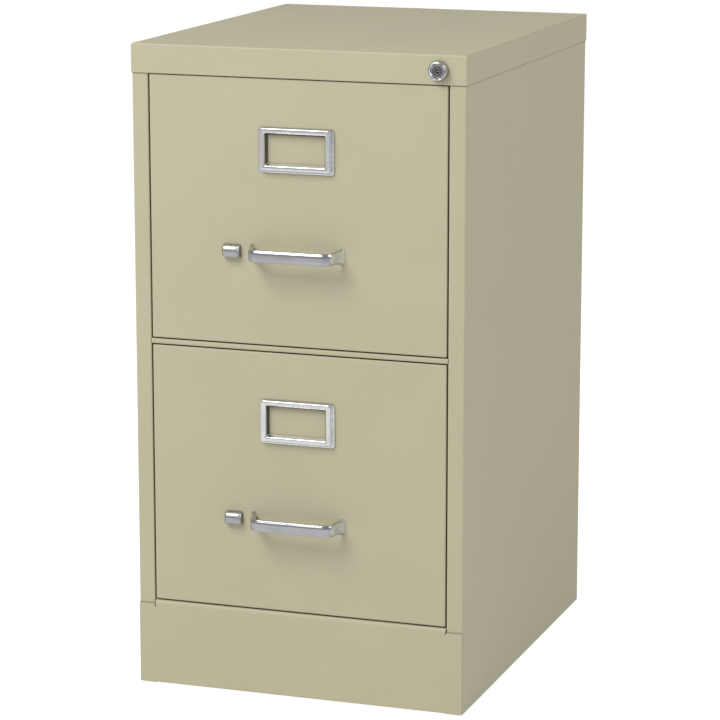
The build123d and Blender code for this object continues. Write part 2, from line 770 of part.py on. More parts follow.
def thumb_button(base_z):
    """A half-round button on the drawer front, with a stem through to the latch bar."""
    button_z = base_z + FRONT_H - HANDLE_DROP
    half = BUTTON_H / 2
    with BuildPart() as button:
        with BuildSketch(along(BUTTON_X - BUTTON_W / 2)):
            with BuildLine():
                Polyline(
                    (STILE_Y - BUTTON_SHOULDER, button_z + half),
                    (STILE_Y - BUTTON_AIR, button_z + half),
                    (STILE_Y - BUTTON_AIR, button_z - half),
                    (STILE_Y - BUTTON_SHOULDER, button_z - half),
                )
                ThreePointArc(
                    (STILE_Y - BUTTON_SHOULDER, button_z - half),
                    (STILE_Y - BUTTON_D, button_z),
                    (STILE_Y - BUTTON_SHOULDER, button_z + half),
                )
            make_face()
        extrude(amount=BUTTON_W)
        ends = button.faces().filter_by(Axis.X)
        chamfer(ends.edges().filter_by(GeomType.CIRCLE), length=BUTTON_BEVEL)
        with BuildSketch(across(LATCH_Y - LATCH_T / 2)):
            with Locations((BUTTON_STEM_X, button_z)):
                Rectangle(BUTTON_STEM_W, BUTTON_STEM_H)
        extrude(amount=LATCH_Y - LATCH_T / 2 - STILE_Y + BUTTON_AIR)
    return button


def latch_bar(base_z):
    """A flat bar behind the skin whose left end is the latch bolt."""
    latch_z = base_z + FRONT_H - HANDLE_DROP
    with BuildPart() as bar:
        with BuildSketch(across(LATCH_Y + LATCH_T / 2)):
            with Locations((span(LATCH_TIP_X, LATCH_END_X), latch_z)):
                Rectangle(LATCH_END_X - LATCH_TIP_X, LATCH_H)
        extrude(amount=LATCH_T)
        tip = bar.edges().filter_by(Axis.Z).sort_by(Axis.X)[:2].sort_by(Axis.Y)[-1]
        chamfer(tip, length=LATCH_TIP_BEVEL)
    return bar


GUIDE_X = (-146.0, -104.0)
GUIDE_W = 8.0
GUIDE_FOOT = 7.0
GUIDE_AIR = 0.4
SPRING_L = 24.0
SPRING_R = 3.6
SPRING_WIRE_R = 0.45
SPRING_TURNS = 8
POST_T = 2.0
POST_REACH = 5.0  # past the middle of the latch bar
POST_FOOT = 9.0
POST_BEND = 0.8


def latch_guides(base_z):
    """Two clips that carry the latch bar, and the post that its spring pushes on."""
    latch_z = base_z + FRONT_H - HANDLE_DROP
    skin_y = STILE_Y + SHEET
    clip_y = LATCH_Y + LATCH_T / 2 + GUIDE_AIR + SHEET
    half = LATCH_H / 2 + GUIDE_AIR + SHEET
    with BuildPart() as guides:
        for guide_x in GUIDE_X:
            with BuildSketch(along(guide_x - GUIDE_W / 2)):
                bent_sheet(
                    [
                        (skin_y + SHEET, latch_z - half - GUIDE_FOOT),
                        (skin_y + SHEET, latch_z - half),
                        (clip_y, latch_z - half),
                        (clip_y, latch_z + half),
                        (skin_y + SHEET, latch_z + half),
                        (skin_y + SHEET, latch_z + half + GUIDE_FOOT),
                    ],
                    bend=1.0,
                )
            extrude(amount=GUIDE_W)
        with BuildSketch(Plane.XY.offset(latch_z - LATCH_H / 2)):
            post_x = LATCH_END_X + SPRING_L
            bent_sheet(
                [(post_x, LATCH_Y + POST_REACH), (post_x, skin_y), (post_x + POST_FOOT, skin_y)],
                thickness=POST_T,
                bend=POST_BEND,
            )
        extrude(amount=LATCH_H)
    return guides


def latch_spring(base_z):
    """The coil spring between the latch bar and its post."""
    latch_z = base_z + FRONT_H - HANDLE_DROP
    coil_l = SPRING_L - 2 * SPRING_WIRE_R
    start = LATCH_END_X + SPRING_WIRE_R
    with BuildPart() as spring:
        with BuildLine() as coil:
            Helix(
                pitch=coil_l / SPRING_TURNS,
                height=coil_l,
                radius=SPRING_R,
                center=(start, LATCH_Y, latch_z),
                direction=(1, 0, 0),
            )
        with BuildSketch(Plane(coil.line @ 0, z_dir=coil.line % 0)):
            Circle(SPRING_WIRE_R)
        sweep()
    return spring


for name, base_z in DRAWERS.items():
    save(front_skin(base_z), f"{name}_front_skin")
    save(front_liner(base_z), f"{name}_front_liner")
    save(tub(base_z), f"{name}_drawer_tub")
    save(drawer_back(base_z), f"{name}_drawer_back")
    save(lock_lug(base_z), f"{name}_lock_lug")
    save(label_holder(base_z), f"{name}_label_holder")
    save(handle(base_z), f"{name}_handle")
    save(handle_screws(base_z), f"{name}_handle_screws")
    save(thumb_button(base_z), f"{name}_thumb_button")
    save(latch_bar(base_z), f"{name}_latch_bar")
    save(latch_guides(base_z), f"{name}_latch_guides")
    save(latch_spring(base_z), f"{name}_latch_spring")

# Strike plates behind the left stile's lip, one for each drawer's latch bolt
STRIKE_T = 1.5
STRIKE_H = 30.0
STRIKE_MARGIN = 5.0

with BuildPart() as latch_strikes:
    for drawer_z in DRAWERS.values():
        with BuildSketch(along(-OPENING_X - SHEET)):
            with Locations((STRIKE_SLOT_Y, drawer_z + FRONT_H - HANDLE_DROP)):
                Rectangle(STRIKE_SLOT_W + STRIKE_MARGIN, STRIKE_H)
                Rectangle(STRIKE_SLOT_W, STRIKE_SLOT_H, mode=Mode.SUBTRACT)
        extrude(amount=-STRIKE_T)
save(latch_strikes, "latch_strikes")

# ---------------------------------------------------------------- lock

BEZEL_FRONT = FRONT_Y - BEZEL_D
LOCK_BODY_END = STILE_Y + 18.0
FACE_SEAT = BEZEL_FRONT + 5.5
FACE_FRONT = BEZEL_FRONT + 2.2
HEX_R = 9.2
CAM_Y = STILE_Y + 20.5
CAM_T = 2.0
CAM_HUB_R = 7.5
CAM_BORE_R = 4.2
PLUG_CHAMFER = 0.6
TAIL_HALF = 3.0
TAIL_END = STILE_Y + 24.0
KEYWAY_W = 1.7
KEYWAY_H = 8.5
KEYWAY_D = 14.0

with BuildPart() as lock_housing:
    with BuildSketch(across(FRONT_Y)):
        with Locations((LOCK_X, LOCK_Z)):
            Circle(BEZEL_R)
    extrude(amount=BEZEL_D)
    chamfer(lock_housing.edges().group_by(Axis.Y)[0], length=1.0)
    with BuildSketch(across(LOCK_BODY_END)):
        with Locations((LOCK_X, LOCK_Z)):
            Circle(LOCK_BODY_R)
    extrude(amount=LOCK_BODY_END - FRONT_Y)
    with BuildSketch(across(LOCK_BODY_END)):
        with Locations((LOCK_X, LOCK_Z)):
            Circle(PLUG_R + RUNNING_FIT)
    extrude(amount=LOCK_BODY_END - BEZEL_FRONT, mode=Mode.SUBTRACT)
    with BuildSketch(across(FACE_SEAT + FIT)):
        with Locations((LOCK_X, LOCK_Z)):
            Circle(PLUG_FACE_R + RUNNING_FIT)
    extrude(amount=FACE_SEAT + FIT - BEZEL_FRONT, mode=Mode.SUBTRACT)
    # Six-sided mouth of the bezel
    with BuildSketch(across(FACE_FRONT)):
        with Locations((LOCK_X, LOCK_Z)):
            RegularPolygon(HEX_R, side_count=6)
    extrude(amount=FACE_FRONT - BEZEL_FRONT, mode=Mode.SUBTRACT)
save(lock_housing, "lock_housing")

LOCK_NUT_R = 11.2
LOCK_NUT_T = 4.0

with BuildPart() as lock_nut:
    with BuildSketch(across(STILE_Y + SHEET + LOCK_NUT_T)):
        with Locations((LOCK_X, LOCK_Z)):
            RegularPolygon(LOCK_NUT_R, side_count=6)
            Circle(LOCK_BODY_R + RUNNING_FIT, mode=Mode.SUBTRACT)
    extrude(amount=LOCK_NUT_T)
save(lock_nut, "lock_nut")

with BuildPart() as lock_plug:
    with BuildSketch(across(FACE_SEAT)):
        with Locations((LOCK_X, LOCK_Z)):
            Circle(PLUG_FACE_R)
    extrude(amount=FACE_SEAT - FACE_FRONT)
    chamfer(lock_plug.edges().group_by(Axis.Y)[0], length=PLUG_CHAMFER)
    with BuildSketch(across(CAM_Y)):
        with Locations((LOCK_X, LOCK_Z)):
            Circle(PLUG_R)
    extrude(amount=CAM_Y - FACE_SEAT)
    with BuildSketch(across(TAIL_END)):
        with Locations((LOCK_X, LOCK_Z)):
            Rectangle(2 * TAIL_HALF, 2 * TAIL_HALF)
    extrude(amount=TAIL_END - CAM_Y)
    with BuildSketch(across(FACE_FRONT + KEYWAY_D)):
        with Locations((LOCK_X, LOCK_Z)):
            Rectangle(KEYWAY_W, KEYWAY_H)
    extrude(amount=KEYWAY_D, mode=Mode.SUBTRACT)
save(lock_plug, "lock_plug")

PIN_X = LOCK_X + CAM_PIN_ARM * cos(CAM_REST_ANGLE)
PIN_Z = LOCK_Z + CAM_RISE
PIN_END = STILE_Y + 29.0
PIN_SLOT_END = 3.2
PIN_SLOT_AIR = 0.5

with BuildPart() as lock_cam:
    with BuildSketch(across(CAM_Y + CAM_T)) as cam_face:
        with Locations((LOCK_X, LOCK_Z)):
            Circle(CAM_HUB_R)
        with Locations((PIN_X, PIN_Z)):
            Circle(CAM_BORE_R)
        make_hull(cam_face.edges())
        with Locations((LOCK_X, LOCK_Z)):
            Rectangle(2 * TAIL_HALF + FIT, 2 * TAIL_HALF + FIT, mode=Mode.SUBTRACT)
    extrude(amount=CAM_T)
    with BuildSketch(across(PIN_END)):
        with Locations((PIN_X, PIN_Z)):
            Circle(CAM_PIN_R)
    extrude(amount=PIN_END - CAM_Y - CAM_T)
save(lock_cam, "lock_cam")

BAR_X = (173.0, 175.0)
BAR_Y = (CATCH_Y - CATCH_T / 2, STILE_Y + 42.0)
BAR_LOW = LUG_Z["lower"] - 15.0
BAR_HIGH = PIN_Z + 7.5
ARM_X = 157.0
ARM_LOW = PIN_Z - 7.5
CATCH_X = 163.0
PIN_SLOT_X = span(PIN_X - PIN_SLOT_END, LOCK_X + CAM_PIN_ARM + PIN_SLOT_END)
PIN_SLOT_L = LOCK_X + CAM_PIN_ARM - PIN_X + 2 * PIN_SLOT_END
PIN_SLOT_H = 2 * (CAM_PIN_R + PIN_SLOT_AIR)

with BuildPart() as lock_bar:
    with BuildSketch(along(BAR_X[0])):
        with Locations((span(*BAR_Y), span(BAR_LOW, BAR_HIGH))):
            Rectangle(BAR_Y[1] - BAR_Y[0], BAR_HIGH - BAR_LOW)
    extrude(amount=BAR_X[1] - BAR_X[0])
    # Arm behind the cam, with the slot that its pin runs in
    with BuildSketch(across(CATCH_Y + CATCH_T / 2)):
        with Locations((span(ARM_X, BAR_X[1]), span(ARM_LOW, BAR_HIGH))):
            Rectangle(BAR_X[1] - ARM_X, BAR_HIGH - ARM_LOW)
        with Locations((PIN_SLOT_X, PIN_Z)):
            Rectangle(PIN_SLOT_L, PIN_SLOT_H, mode=Mode.SUBTRACT)
        for lug_z in LUG_Z.values():
            with Locations((span(CATCH_X, BAR_X[1]), lug_z + CATCH_CLEAR + CATCH_H / 2)):
                Rectangle(BAR_X[1] - CATCH_X, CATCH_H)
    extrude(amount=CATCH_T)
save(lock_bar, "lock_bar")

GUIDE_Z = (LUG_Z["lower"] + 60.0, LUG_Z["upper"] + 60.0)
BAR_GUIDE_H = 14.0
BAR_GUIDE_AIR = 0.4
BAR_GUIDE_WALL = 1.2

with BuildPart() as lock_bar_guides:
    inner_x = SLIDE_X + SHEET
    outer_x = BAR_X[1] + BAR_GUIDE_AIR + BAR_GUIDE_WALL
    inner_w = BAR_X[1] - BAR_X[0] + 2 * BAR_GUIDE_AIR
    inner_l = BAR_Y[1] - BAR_Y[0] + 2 * BAR_GUIDE_AIR
    for guide_z in GUIDE_Z:
        with BuildSketch(Plane.XY.offset(guide_z)):
            with Locations((span(inner_x, outer_x), span(*BAR_Y))):
                Rectangle(outer_x - inner_x, inner_l + 2 * BAR_GUIDE_WALL)
            with Locations((span(*BAR_X), span(*BAR_Y))):
                Rectangle(inner_w, inner_l, mode=Mode.SUBTRACT)
        extrude(amount=BAR_GUIDE_H)
save(lock_bar_guides, "lock_bar_guides")
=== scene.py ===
"""The looks of a two-drawer vertical filing cabinet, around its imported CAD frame."""
from math import cos, pi, radians, sin
import json

import bmesh
import bpy
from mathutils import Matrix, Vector


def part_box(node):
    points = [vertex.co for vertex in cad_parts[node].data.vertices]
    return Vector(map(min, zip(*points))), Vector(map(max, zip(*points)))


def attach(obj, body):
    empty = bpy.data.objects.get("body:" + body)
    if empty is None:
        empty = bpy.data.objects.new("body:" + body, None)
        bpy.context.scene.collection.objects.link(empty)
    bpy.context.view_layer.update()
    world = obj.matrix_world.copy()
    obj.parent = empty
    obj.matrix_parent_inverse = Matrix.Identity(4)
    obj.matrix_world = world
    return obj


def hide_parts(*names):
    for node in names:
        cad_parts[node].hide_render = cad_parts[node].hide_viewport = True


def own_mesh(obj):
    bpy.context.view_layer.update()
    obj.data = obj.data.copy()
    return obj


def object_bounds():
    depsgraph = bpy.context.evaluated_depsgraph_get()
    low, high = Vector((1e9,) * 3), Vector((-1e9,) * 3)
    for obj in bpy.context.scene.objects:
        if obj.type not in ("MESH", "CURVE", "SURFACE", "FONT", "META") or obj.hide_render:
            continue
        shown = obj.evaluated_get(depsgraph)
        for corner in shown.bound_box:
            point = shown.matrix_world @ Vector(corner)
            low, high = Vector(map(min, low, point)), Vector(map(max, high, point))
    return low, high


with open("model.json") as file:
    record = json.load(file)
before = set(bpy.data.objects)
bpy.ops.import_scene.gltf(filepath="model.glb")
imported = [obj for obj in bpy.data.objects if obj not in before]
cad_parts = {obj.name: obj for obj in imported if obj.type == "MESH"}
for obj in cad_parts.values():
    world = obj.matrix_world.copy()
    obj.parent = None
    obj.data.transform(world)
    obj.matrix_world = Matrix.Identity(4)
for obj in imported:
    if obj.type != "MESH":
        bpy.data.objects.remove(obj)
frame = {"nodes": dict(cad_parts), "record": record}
cad_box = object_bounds()

MM = 0.001
DRAWERS = ("upper", "lower")
WELD_DISTANCE = 1e-7
SPANS = {node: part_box(node) for node in frame["nodes"]}

# ---------------------------------------------------------------- mesh helpers


def new_object(name, verts, faces, material, smooth_angle=40.0):
    """A mesh object from lists of points and faces, shaded smooth except at sharp folds."""
    mesh = bpy.data.meshes.new(name)
    mesh.from_pydata([tuple(v) for v in verts], [], faces)
    tidy = bmesh.new()
    tidy.from_mesh(mesh)
    bmesh.ops.remove_doubles(tidy, verts=tidy.verts, dist=WELD_DISTANCE)
    bmesh.ops.recalc_face_normals(tidy, faces=tidy.faces)
    tidy.to_mesh(mesh)
    tidy.free()
    mesh.materials.append(material)
    mesh.shade_smooth()
    mesh.set_sharp_from_angle(angle=radians(smooth_angle))
    piece = bpy.data.objects.new(name, mesh)
    bpy.context.scene.collection.objects.link(piece)
    return piece


def skin_loops(loops, closed=False):
    """Points and faces joining closed loops of equal length; closed joins the last to the first."""
    count = len(loops[0])
    verts = [v for loop in loops for v in loop]
    faces = []
    rows = len(loops) if closed else len(loops) - 1
    for i in range(rows):
        a = i * count
        b = (i + 1) % len(loops) * count
        for j in range(count):
            k = (j + 1) % count
            faces.append((a + j, a + k, b + k, b + j))
    if not closed:
        faces.append(tuple(range(count))[::-1])
        faces.append(tuple(range(len(verts) - count, len(verts))))
    return verts, faces


def rounded_rectangle(half_x, half_z, radius, steps=8):
    """Points round a rectangle with round corners, as (x, z)."""
    points = []
    for quarter in range(4):
        sx = (1, -1, -1, 1)[quarter]
        sz = (1, 1, -1, -1)[quarter]
        for i in range(steps + 1):
            a = pi / 2 * (quarter + i / steps)
            x = sx * (half_x - radius) + radius * cos(a)
            z = sz * (half_z - radius) + radius * sin(a)
            points.append((x, z))
    return points


# ---------------------------------------------------------------- materials


class Shader:
    """A new material with one Principled shader, and short ways to feed it."""

    def __init__(self, name, **values):
        self.material = bpy.data.materials.new(name)
        self.material.use_nodes = True
        self.tree = self.material.node_tree
        self.surface = self.tree.nodes["Principled BSDF"]
        for socket, value in values.items():
            self.surface.inputs[socket.replace("_", " ")].default_value = value
        self.position = self.node("ShaderNodeTexCoord").outputs["Object"]

    def node(self, kind, **settings):
        made = self.tree.nodes.new(kind)
        for key, value in settings.items():
            setattr(made, key, value)
        return made

    def link(self, output, target):
        self.tree.links.new(output, target)

    def noise(self, scale, detail=2.0, stretch=(1, 1, 1), roughness=0.5):
        """Noise in metres of the object; stretch above 1 squeezes it along that axis."""
        mapping = self.node("ShaderNodeMapping")
        mapping.inputs["Scale"].default_value = stretch
        self.link(self.position, mapping.inputs["Vector"])
        texture = self.node("ShaderNodeTexNoise")
        texture.inputs["Scale"].default_value = scale
        texture.inputs["Detail"].default_value = detail
        texture.inputs["Roughness"].default_value = roughness
        self.link(mapping.outputs["Vector"], texture.inputs["Vector"])
        return texture.outputs["Fac"]

    def ramp(self, factor, stops):
        """A colour ramp; stops are (place, colour)."""
        ramp = self.node("ShaderNodeValToRGB")
        elements = ramp.color_ramp.elements
        while len(elements) < len(stops):
            elements.new(0.5)
        for element, (place, colour) in zip(elements, stops):
            element.position = place
            element.color = (*colour, 1.0)
        self.link(factor, ramp.inputs["Fac"])
        return ramp.outputs["Color"]

    def spread(self, factor, low, high, source=(0.3, 0.7)):
        """The factor's usual range spread over low to high."""
        span = self.node("ShaderNodeMapRange")
        span.inputs["From Min"].default_value = source[0]
        span.inputs["From Max"].default_value = source[1]
        span.inputs["To Min"].default_value = low
        span.inputs["To Max"].default_value = high
        self.link(factor, span.inputs["Value"])
        return span.outputs["Result"]

    def add(self, first, second):
        total = self.node("ShaderNodeMath", operation="ADD")
        self.link(first, total.inputs[0])
        self.link(second, total.inputs[1])
        return total.outputs["Value"]

    def colour(self, output):
        self.link(output, self.surface.inputs["Base Color"])

    def roughness(self, output):
        self.link(output, self.surface.inputs["Roughness"])

    def bump(self, height, distance, strength=1.0, over=None):
        bump = self.node("ShaderNodeBump")
        if over:
            self.link(over, bump.inputs["Normal"])
        bump.inputs["Distance"].default_value = distance
        bump.inputs["Strength"].default_value = strength
        self.link(height, bump.inputs["Height"])
        self.link(bump.outputs["Normal"], self.surface.inputs["Normal"])


WHITE = (1.0, 1.0, 1.0)


def scaled(colour, factor):
    return tuple(c * factor for c in colour)


PUTTY = (0.545, 0.513, 0.352)


def powder_coat():
    """Satin putty powder coat: a fine orange-peel skin, soft folds, and painted shade in the seams."""
    coat = Shader("putty_powder_coat", Specular_IOR_Level=0.22)
    clouds = coat.noise(scale=9.0, detail=3.0)
    grain = coat.noise(scale=420.0, detail=2.0)
    tone = coat.add(coat.spread(clouds, low=0.0, high=0.8), coat.spread(grain, low=0.0, high=0.2))
    paint = coat.ramp(tone, [(0.0, scaled(PUTTY, 0.985)), (1.0, scaled(PUTTY, 1.03))])
    # Painted shade: the paint colour darkens within 2 mm of nearby surfaces, in seams and gaps and around
    # fittings.
    painted_seam_shade = coat.node("ShaderNodeAmbientOcclusion", samples=8)
    painted_seam_shade.inputs["Distance"].default_value = 2.0 * MM
    coat.link(paint, painted_seam_shade.inputs["Color"])
    coat.colour(painted_seam_shade.outputs["Color"])
    coat.roughness(coat.spread(clouds, low=0.42, high=0.5))
    fine_peel = coat.spread(coat.noise(scale=700.0), low=0.0, high=1.0)
    broad_peel = coat.spread(coat.noise(scale=160.0), low=0.0, high=0.6)
    soft_folds = coat.node("ShaderNodeBevel", samples=6)
    soft_folds.inputs["Radius"].default_value = 1.4 * MM
    coat.bump(coat.add(fine_peel, broad_peel), distance=0.012 * MM, over=soft_folds.outputs["Normal"])
    return coat.material


def brushed_metal(name, colour, rough, stretch, scale=900.0, relief=0.004):
    """Metal with fine lines: stretch squeezes the noise across the lines. relief is in millimetres."""
    metal = Shader(name, Metallic=1.0)
    lines = metal.noise(scale=scale, detail=3.0, stretch=stretch)
    blotches = metal.noise(scale=45.0, detail=2.0)
    tone = metal.add(metal.spread(lines, low=0.0, high=0.55), metal.spread(blotches, low=0.0, high=0.45))
    metal.colour(metal.ramp(tone, [(0.0, scaled(colour, 0.86)), (1.0, scaled(colour, 1.08))]))
    metal.roughness(metal.spread(tone, low=rough * 1.35, high=rough * 0.75, source=(0.0, 1.0)))
    metal.bump(lines, distance=relief * MM)
    return metal.material


def zinc_plate():
    """Bright zinc with soft spangle and a slightly cloudy sheen."""
    zinc = Shader("zinc_plate", Metallic=1.0)
    cells = zinc.node("ShaderNodeTexVoronoi")
    cells.inputs["Scale"].default_value = 260.0
    zinc.link(zinc.position, cells.inputs["Vector"])
    spangle = cells.outputs["Distance"]
    clouds = zinc.noise(scale=60.0, detail=3.0)
    tone = zinc.add(zinc.spread(clouds, low=0.0, high=0.7), zinc.spread(spangle, low=0.0, high=0.3))
    zinc.colour(zinc.ramp(tone, [(0.0, (0.46, 0.47, 0.47)), (1.0, (0.66, 0.66, 0.64))]))
    zinc.roughness(zinc.spread(tone, low=0.42, high=0.26, source=(0.0, 1.0)))
    zinc.bump(spangle, distance=0.004 * MM)
    return zinc.material


def moulded(name, colour, rough):
    """Moulded rubber or plastic with a fine spark-eroded grain."""
    body = Shader(name)
    grain = body.noise(scale=1500.0, detail=2.0)
    clouds = body.noise(scale=70.0, detail=2.0)
    body.colour(body.ramp(clouds, [(0.3, scaled(colour, 0.85)), (0.7, scaled(colour, 1.15))]))
    body.roughness(body.spread(grain, low=rough * 0.9, high=rough * 1.1))
    body.bump(grain, distance=0.01 * MM)
    return body.material


PAINT = powder_coat()
ZINC = zinc_plate()
EVEN = (1.0, 1.0, 1.0)
ALONG_X = (0.06, 1.0, 1.0)
ALONG_Y = (1.0, 0.2, 1.0)
ALONG_Z = (1.0, 1.0, 0.08)
BROAD_Z = (1.0, 1.0, 0.2)
HANDLE_CHROME = brushed_metal("handle_chrome", (0.5, 0.505, 0.525), rough=0.22, stretch=ALONG_X)
# The arms' chrome is a lighter, rougher copy of the bail's chrome: a painted highlight on the arms and
# feet.
ARM_PAINTED_HIGHLIGHT_CHROME = brushed_metal("handle_arm_painted_highlight_chrome", (0.78, 0.785, 0.83), rough=0.42, stretch=ALONG_Y)
FRAME_CHROME = brushed_metal(
    "frame_chrome", (0.8, 0.805, 0.82), rough=0.17, stretch=EVEN, scale=300.0, relief=0.002
)
BUTTON_CHROME = brushed_metal(
    "button_brushed_chrome", (0.5, 0.505, 0.52), rough=0.3, stretch=ALONG_Z, scale=1400.0
)
# Dark steel that stands for shade: painted shade inside the label frame.
LABEL_PAINTED_SHADE_STEEL = brushed_metal(
    "label_painted_shade_steel", (0.16, 0.155, 0.15), rough=0.45, stretch=BROAD_Z, scale=800.0
)
BEZEL_CHROME = brushed_metal("bezel_chrome", (0.6, 0.6, 0.62), rough=0.24, stretch=EVEN, scale=500.0)
DARK_NICKEL = brushed_metal("plug_dark_nickel", (0.2, 0.19, 0.2), rough=0.28, stretch=EVEN)
POLISHED = brushed_metal("ball_steel", (0.66, 0.66, 0.68), rough=0.1, stretch=EVEN, scale=700.0)
RUBBER = moulded("black_rubber", (0.02, 0.02, 0.02), rough=0.7)
NYLON = moulded("natural_nylon", (0.62, 0.61, 0.56), rough=0.45)

SLOT_MATERIALS = {
    "putty_paint": PAINT,
    "zinc_steel": ZINC,
    "chrome_trim": FRAME_CHROME,
    "lock_core_metal": DARK_NICKEL,
    "bumper_rubber": RUBBER,
    "guide_nylon": NYLON,
    "bearing_steel": POLISHED,
    "spring_steel": POLISHED,
}

for part in frame["record"]["subparts"]:
    mesh = frame["nodes"][part["node"]].data
    mesh.materials.clear()
    mesh.materials.append(SLOT_MATERIALS[part["material_slot"]])

# ---------------------------------------------------------------- handles


BAR_H = 13.3 * MM
FOOT_H = 17.0 * MM
STRAP_T = 4.6 * MM
FOOT_THINNING = 0.45
FACE_CROWN = 1.1 * MM
CROWN_POWER = 4
FACE_STEPS = 14
FACE_EDGE = 1.1 * MM
FACE_EDGE_TURNS = (25, 50, 75, 90)
BACK_EDGE = ((0.5 * MM, 0.0), (0.1 * MM, 0.15 * MM), (0.0, 0.6 * MM))
HANDLE_BEND = 11.0 * MM
BEND_STEPS = 16
BAR_STEPS = 8
FOOT_INSET = 1.4 * MM
FOOT_FLARE = 6.2 * MM
FLARE_DEPTH = 15.5 * MM
FLARE_STEPS = 8
FLARE_SPACING = 1.4
ARM_HIGHLIGHT_FACING = 0.8


def handle_route(low, high):
    """The bail's centre line seen from above, from its right foot round to its left, as (x, y)."""
    front = low.y + STRAP_T / 2
    arm_x = high.x - FOOT_INSET - FOOT_FLARE
    points = []
    for i in range(FLARE_STEPS + 1):
        depth = FLARE_DEPTH * (i / FLARE_STEPS) ** FLARE_SPACING
        flare = FOOT_FLARE * (1 - depth / FLARE_DEPTH) ** 2
        points.append(Vector((arm_x + flare, high.y - depth)))
    corner = Vector((arm_x - HANDLE_BEND, front + HANDLE_BEND))
    for i in range(BEND_STEPS + 1):
        a = pi / 2 * i / BEND_STEPS
        points.append(corner + HANDLE_BEND * Vector((cos(a), -sin(a))))
    points += [Vector((corner.x * (1 - i / BAR_STEPS), front)) for i in range(1, BAR_STEPS + 1)]
    return points + [Vector((-p.x, p.y)) for p in points[-2::-1]]


def strap_section(height, thick):
    """The strap's section as (outward, up): a crowned face, round edges and a flat back."""
    half = height / 2
    flat = half - FACE_EDGE
    face = thick / 2
    shoulder = face - FACE_CROWN
    crowned = []
    for i in range(FACE_STEPS + 1):
        t = -1 + 2 * i / FACE_STEPS
        crowned.append((face - FACE_CROWN * abs(t) ** CROWN_POWER, t * flat))
    edge = []
    for turn in FACE_EDGE_TURNS:
        a = radians(turn)
        edge.append((shoulder - FACE_EDGE * (1 - cos(a)), flat + FACE_EDGE * sin(a)))
    edge += [(-face + out, half - down) for out, down in BACK_EDGE]
    return crowned + edge + [(-face, 0.0)] + [(out, -up) for out, up in edge[::-1]]


def make_handle(name):
    """A bent strap bail that swells a little towards its two feet."""
    low, high = SPANS[f"{name}_handle"]
    middle_z = (low.z + high.z) / 2
    route = handle_route(low, high)
    loops = []
    for i, point in enumerate(route):
        along = (route[min(i + 1, len(route) - 1)] - route[max(i - 1, 0)]).normalized()
        outward = Vector((-along.y, along.x))
        if i in (0, len(route) - 1):
            outward = Vector((1 if point.x > 0 else -1, 0))
        swell = max(1 - (high.y - point.y) / FLARE_DEPTH, 0.0) ** 2
        section = strap_section(BAR_H + (FOOT_H - BAR_H) * swell, STRAP_T * (1 - FOOT_THINNING * swell))
        loops.append([(point.x + outward.x * o, point.y + outward.y * o, middle_z + z) for o, z in section])
    for loop in (loops[0], loops[-1]):
        loop[:] = [(x, high.y, z) for x, y, z in loop]
    piece = new_object(f"{name}_handle_bail", *skin_loops(loops), HANDLE_CHROME, 50.0)
    # Painted highlight: faces that turn sideways, on the arms and feet, take the lighter copy of the
    # chrome.
    piece.data.materials.append(ARM_PAINTED_HIGHLIGHT_CHROME)
    for face in piece.data.polygons:
        if abs(face.normal.x) > ARM_HIGHLIGHT_FACING:
            face.material_index = 1
    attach(piece, f"{name}_drawer")
    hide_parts(f"{name}_handle")


# ---------------------------------------------------------------- label holders

# How far in from the base's edge and how high above the drawer, in millimetres: a thin flange,
# a groove, a raised flat moulding with round edges, and an inner wall that slopes to the window.
LABEL_PROFILE = (
    (0.0, 0.0), (0.0, 0.8), (0.15, 1.1), (0.4, 1.25), (2.2, 1.25), (2.5, 1.0), (2.8, 0.95), (2.9, 1.3),
    (2.92, 5.3), (3.0, 5.75), (3.25, 6.1), (3.7, 6.32), (4.4, 6.42), (5.6, 6.46), (6.8, 6.42), (7.5, 6.3),
    (7.95, 6.05), (8.25, 5.6), (8.5, 4.8), (9.9, 1.0), (10.15, 0.5), (10.3, 0.0),
)
LABEL_WALL = 8.4
LABEL_SHADOW_EDGE = 6.1
LABEL_FLANGE = 2.9
LABEL_TOP_FLANGE = 0.2
FLANGE_CORNER_R = 3.4
FLANGE_CORNER_TAPER = 0.4
MOULDING_CORNER_R = 3.0
MOULDING_CORNER_TAPER = 0.16
WINDOW_CORNER_R = 1.3
SIDE_FACING = 0.7
DOWN_FACING = -0.3


def label_corner(inset):
    """Corner radius of the label frame at a distance in from its base's edge."""
    if inset <= LABEL_FLANGE:
        return FLANGE_CORNER_R - inset * FLANGE_CORNER_TAPER
    return max(MOULDING_CORNER_R - inset * MOULDING_CORNER_TAPER, WINDOW_CORNER_R)


